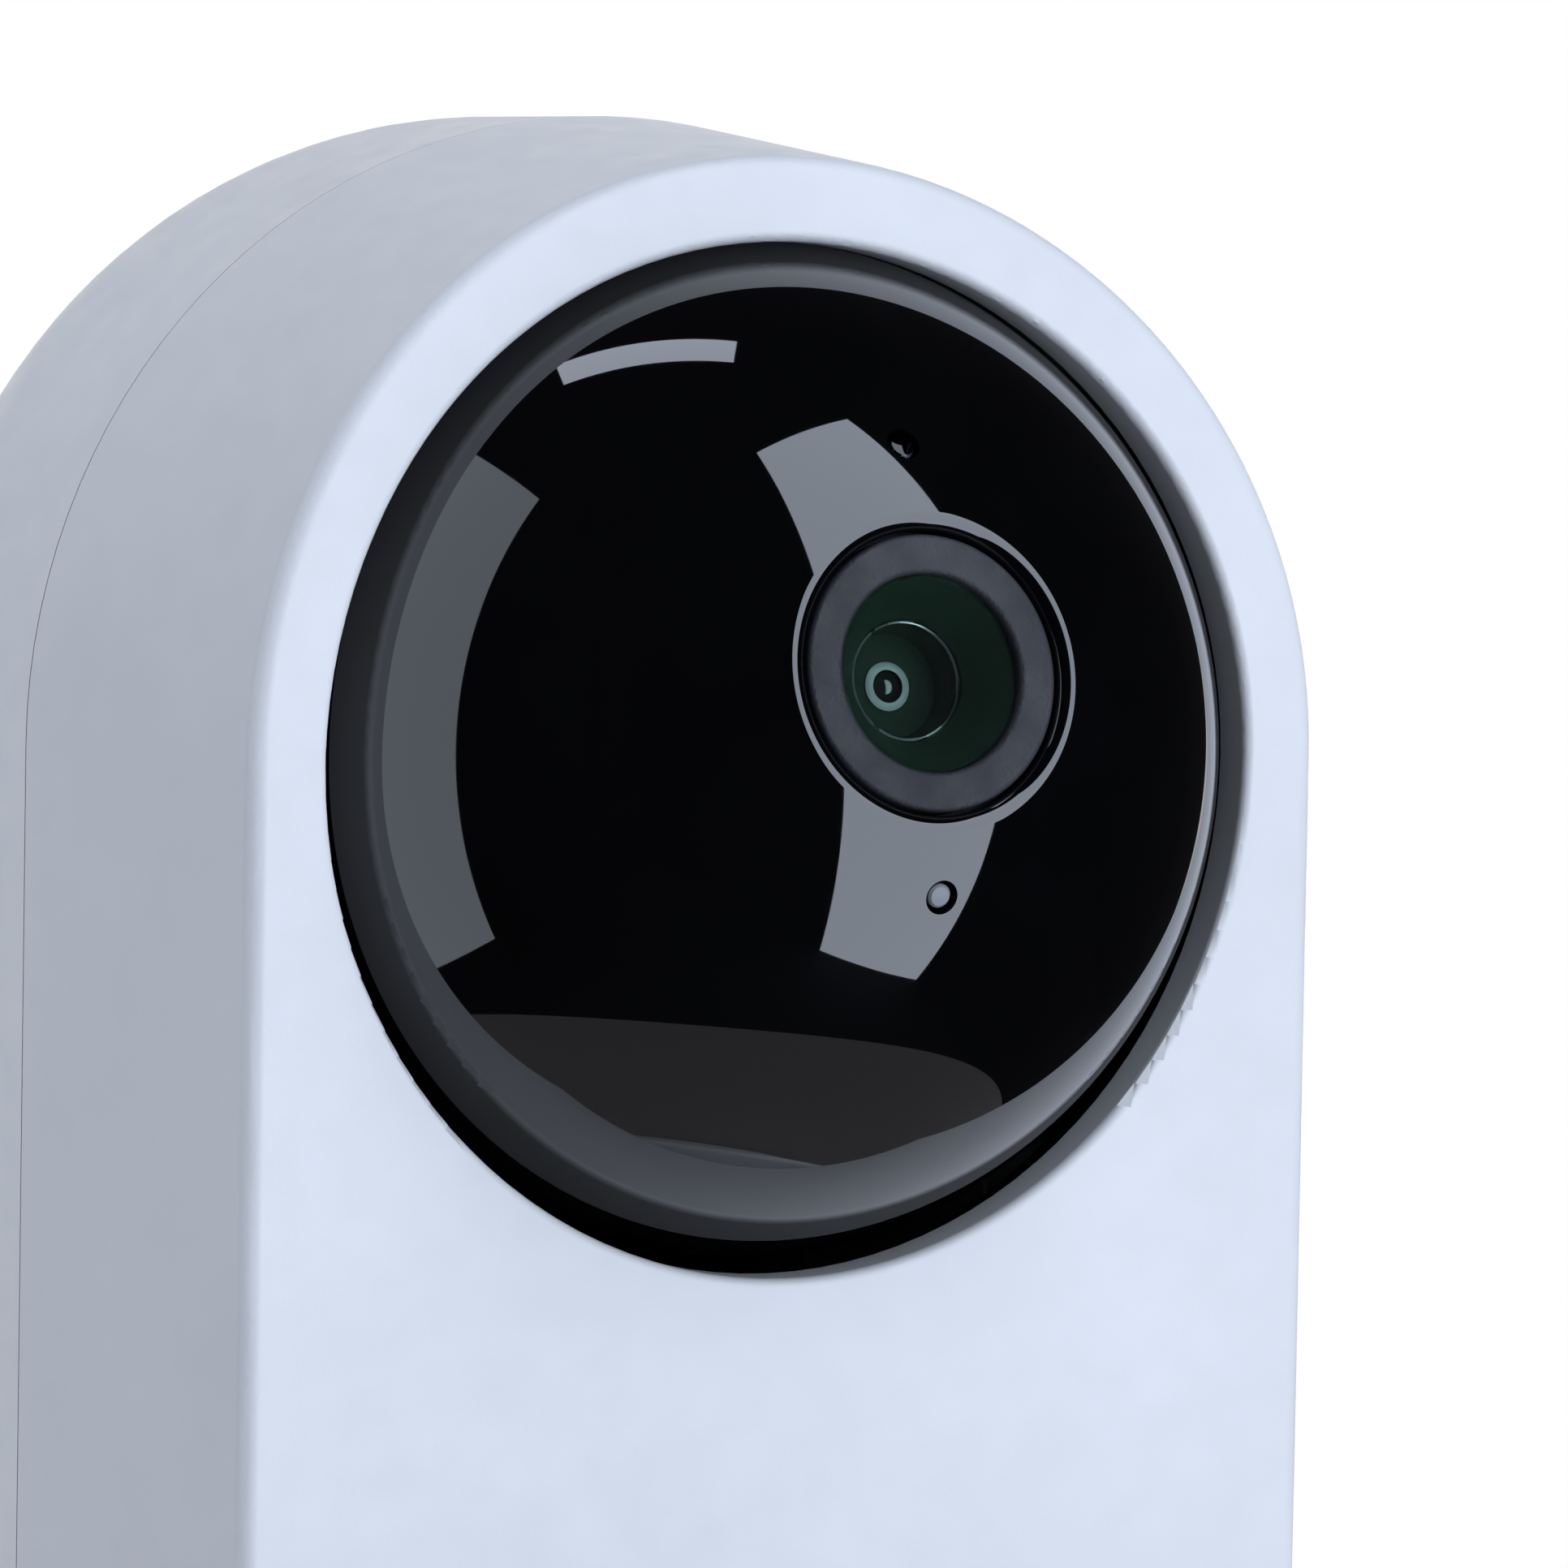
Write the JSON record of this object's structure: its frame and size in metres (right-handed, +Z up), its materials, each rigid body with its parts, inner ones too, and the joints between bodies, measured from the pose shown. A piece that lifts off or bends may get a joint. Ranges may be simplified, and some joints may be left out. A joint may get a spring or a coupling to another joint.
{
  "type": "security camera",
  "caption": "Indoor security camera: an arched body that pans on a round base, with a ball holding the lens that tilts in the round window of the body.",
  "frame": {"origin": "on the pan axis, at the mouth of the tripod hole in the underside of the base, 1 mm above the table", "axes": "+Z up along the pan axis, -Y towards the front (the lens side), +X to the viewer's right when facing the front"},
  "size_m": [0.0746, 0.0794, 0.1183],
  "materials": {
    "white_plastic": "satin moulded",
    "black_gloss": "polished",
    "black_satin": "fine satin",
    "ring_grey": "grained",
    "lens_glass": "coated",
    "lens_black": "matt",
    "window_glass": "smoked",
    "sensor_white": "matt",
    "board_green": "solder mask",
    "chip_dark": "polished",
    "led_clear": "clear",
    "steel": "bright",
    "zinc": "plain",
    "brass": "turned",
    "motor_steel": "plated",
    "gear_white": "moulded",
    "frame_grey": "moulded",
    "washer_clear": "low friction",
    "foot_rubber": "matt",
    "cone_paper": "pressed paper",
    "copper": "flat"
  },
  "bodies": {
    "base": {"rubber_foot": "foot_rubber", "base_plate": "white_plastic", "tripod_insert": "brass", "ballast_plate": "zinc", "base_cover": "white_plastic", "base_screws": "steel", "thrust_washer": "washer_clear", "pan_gear": "gear_white", "gear_retainer": "steel", "gear_screw": "steel"},
    "body": {"pan_motor": "motor_steel", "pan_motor_screws": "steel", "turntable": "white_plastic", "front_housing": "white_plastic", "rear_housing": "white_plastic", "housing_screws": "steel", "bezel_ring": "black_satin", "bezel_screws": "steel", "chassis": "frame_grey", "chassis_screws": "steel", "tilt_arm_left": "frame_grey", "tilt_arm_right": "frame_grey", "arm_screws": "steel", "tilt_shaft": "steel", "main_board": "board_green", "board_screws": "steel", "rf_shield": "steel", "usb_socket": "steel", "reset_switch": "frame_grey", "speaker_frame": "frame_grey", "speaker_cone": "cone_paper", "antenna": "copper"},
    "ball": {"ball_front_shell": "black_gloss", "ball_rear_shell": "black_gloss", "ball_screws": "steel", "tilt_pin": "steel", "tilt_motor": "motor_steel", "lens_ring": "ring_grey", "lens_front_glass": "lens_glass", "lens_barrel": "lens_black", "lens_middle_glass": "lens_glass", "lens_rear_glass": "lens_glass", "lens_holder": "lens_black", "image_sensor": "chip_dark", "sensor_board": "board_green", "sensor_screws": "steel", "led_board": "board_green", "infrared_leds": "led_clear", "status_window": "window_glass", "light_sensor": "sensor_white"},
    "pan_pinion": {"pan_pinion": "gear_white"},
    "reset_button": {"reset_button": "white_plastic"}
  },
  "joints": [
    {"name": "pan", "type": "hinge", "parent": "base", "child": "body", "pos_m": [0, 0, 0], "axis": [0, 0, 1], "range_deg": [-175, 175]},
    {"name": "tilt", "type": "hinge", "parent": "body", "child": "ball", "pos_m": [0, -0.0164, 0.0803], "axis": [-1, 0, 0], "range_deg": [-37, 48]},
    {"name": "pan_pinion_spin", "type": "hinge", "parent": "body", "child": "pan_pinion", "pos_m": [0, 0.0199, 0], "axis": [0, 0, 1], "range_deg": [-547, 547]},
    {"name": "reset_press", "type": "slide", "parent": "body", "child": "reset_button", "axis": [0, -1, 0], "range_m": [0, 0.0005], "stiffness_N_per_m": 300}
  ],
  "couplings": [
    {"joint": "pan_pinion_spin", "follows": "pan", "ratio": 3.125}
  ]
}
